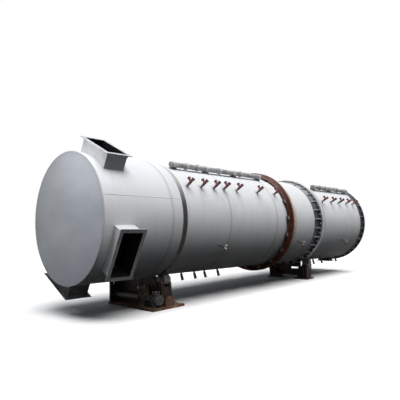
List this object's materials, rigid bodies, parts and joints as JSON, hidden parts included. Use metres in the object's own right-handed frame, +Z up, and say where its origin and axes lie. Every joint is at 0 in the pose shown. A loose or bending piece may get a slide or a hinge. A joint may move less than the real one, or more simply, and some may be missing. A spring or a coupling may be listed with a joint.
{
  "type": "rotary kiln",
  "caption": "Rotary kiln: a long sloping steel drum with a ducted head, girth gear, gusseted bolted joint and nozzle tees, turning on two roller stations.",
  "frame": {"origin": "on the ground under the kiln axis, at the middle plane of the front tyre, on the underside of the front base", "axes": "+X runs along the kiln towards its open discharge end, +Z up, -Y is the near side in the picture"},
  "size_m": [9.4287, 2.6257, 3.0687],
  "materials": {
    "shell": "silver-grey paint, weathered",
    "head": "silver-grey paint, weathered",
    "end_plate": "bluish-grey paint",
    "duct": "grey paint, dark inside",
    "duct_flange": "grey paint, worn edges",
    "front_tyre": "dark rolled steel",
    "girth_gear": "rust-brown cast steel",
    "gear_lugs": "dark, sooty paint",
    "rear_tyre": "rolled steel, run bright",
    "joint": "dark steel grey, bright edges",
    "joint_rim": "silver-grey paint",
    "end_flange": "dark steel grey",
    "header": "silver-grey paint",
    "saddles": "dark grey paint",
    "nozzles": "red primer, worn",
    "rollers": "dark rolled steel",
    "bearings": "brown, oily",
    "base": "rusty brown",
    "stands": "dark rusty brown",
    "tie_beam": "dark rusty brown",
    "housing": "brown paint, oily",
    "reducer": "tan, dusty",
    "motor": "dark, greasy",
    "drive_steel": "dark brown"
  },
  "bodies": {
    "stations": {"front_bearings": "bearings", "rear_bearings": "bearings", "front_base": "base", "front_stands": "stands", "front_apron": "stands", "stand_housing": "housing", "rear_pedestal_near": "stands", "rear_pedestal_far": "stands", "tie_beam": "tie_beam", "reducer": "reducer", "drive_motor": "motor", "drive_post": "drive_steel", "cross_shaft": "drive_steel"},
    "drum": {"front_course": "shell", "middle_course": "shell", "gear_course": "shell", "rear_course": "shell", "end_plate": "end_plate", "head_shell": "head", "top_duct": "duct", "top_duct_flange": "duct_flange", "side_duct": "duct", "side_duct_flange": "duct_flange", "bottom_duct": "duct", "bottom_duct_flange": "duct_flange", "front_tyre": "front_tyre", "girth_gear": "girth_gear", "gear_lugs": "gear_lugs", "rear_tyre": "rear_tyre", "joint_front_flange": "joint", "joint_rear_flange": "joint_rim", "joint_gussets": "joint", "end_flange": "end_flange", "end_gussets": "end_flange", "rear_chute": "duct", "rear_chute_flange": "duct_flange", "header_pipes": "header", "header_saddles": "saddles", "upper_nozzles": "nozzles", "side_nozzles": "nozzles", "bottom_nozzles": "nozzles"},
    "front_roller_near": {"front_roller_near": "rollers"},
    "front_roller_far": {"front_roller_far": "rollers"},
    "rear_roller_near": {"rear_roller_near": "rollers"},
    "rear_roller_far": {"rear_roller_far": "rollers"}
  },
  "joints": [
    {"name": "drum_spin", "type": "hinge", "parent": "stations", "child": "drum", "pos_m": [0, 0, 1.64793], "axis": [0.9998, 0, -0.018], "continuous": true},
    {"name": "front_roller_near_spin", "type": "hinge", "parent": "stations", "child": "front_roller_near", "pos_m": [-0.0202, -0.4996, 0.526], "axis": [0.9998, 0, -0.018], "continuous": true},
    {"name": "front_roller_far_spin", "type": "hinge", "parent": "stations", "child": "front_roller_far", "pos_m": [-0.0202, 0.4996, 0.526], "axis": [0.9998, 0, -0.018], "continuous": true},
    {"name": "rear_roller_near_spin", "type": "hinge", "parent": "stations", "child": "rear_roller_near", "pos_m": [5.14229, -0.53845, 0.4512], "axis": [0.9998, 0, -0.018], "continuous": true},
    {"name": "rear_roller_far_spin", "type": "hinge", "parent": "stations", "child": "rear_roller_far", "pos_m": [5.14229, 0.53845, 0.4512], "axis": [0.9998, 0, -0.018], "continuous": true}
  ],
  "couplings": [
    {"joint": "front_roller_near_spin", "follows": "drum_spin", "ratio": -9.4068},
    {"joint": "front_roller_far_spin", "follows": "drum_spin", "ratio": -9.4068},
    {"joint": "rear_roller_near_spin", "follows": "drum_spin", "ratio": -9.4068},
    {"joint": "rear_roller_far_spin", "follows": "drum_spin", "ratio": -9.4068}
  ]
}
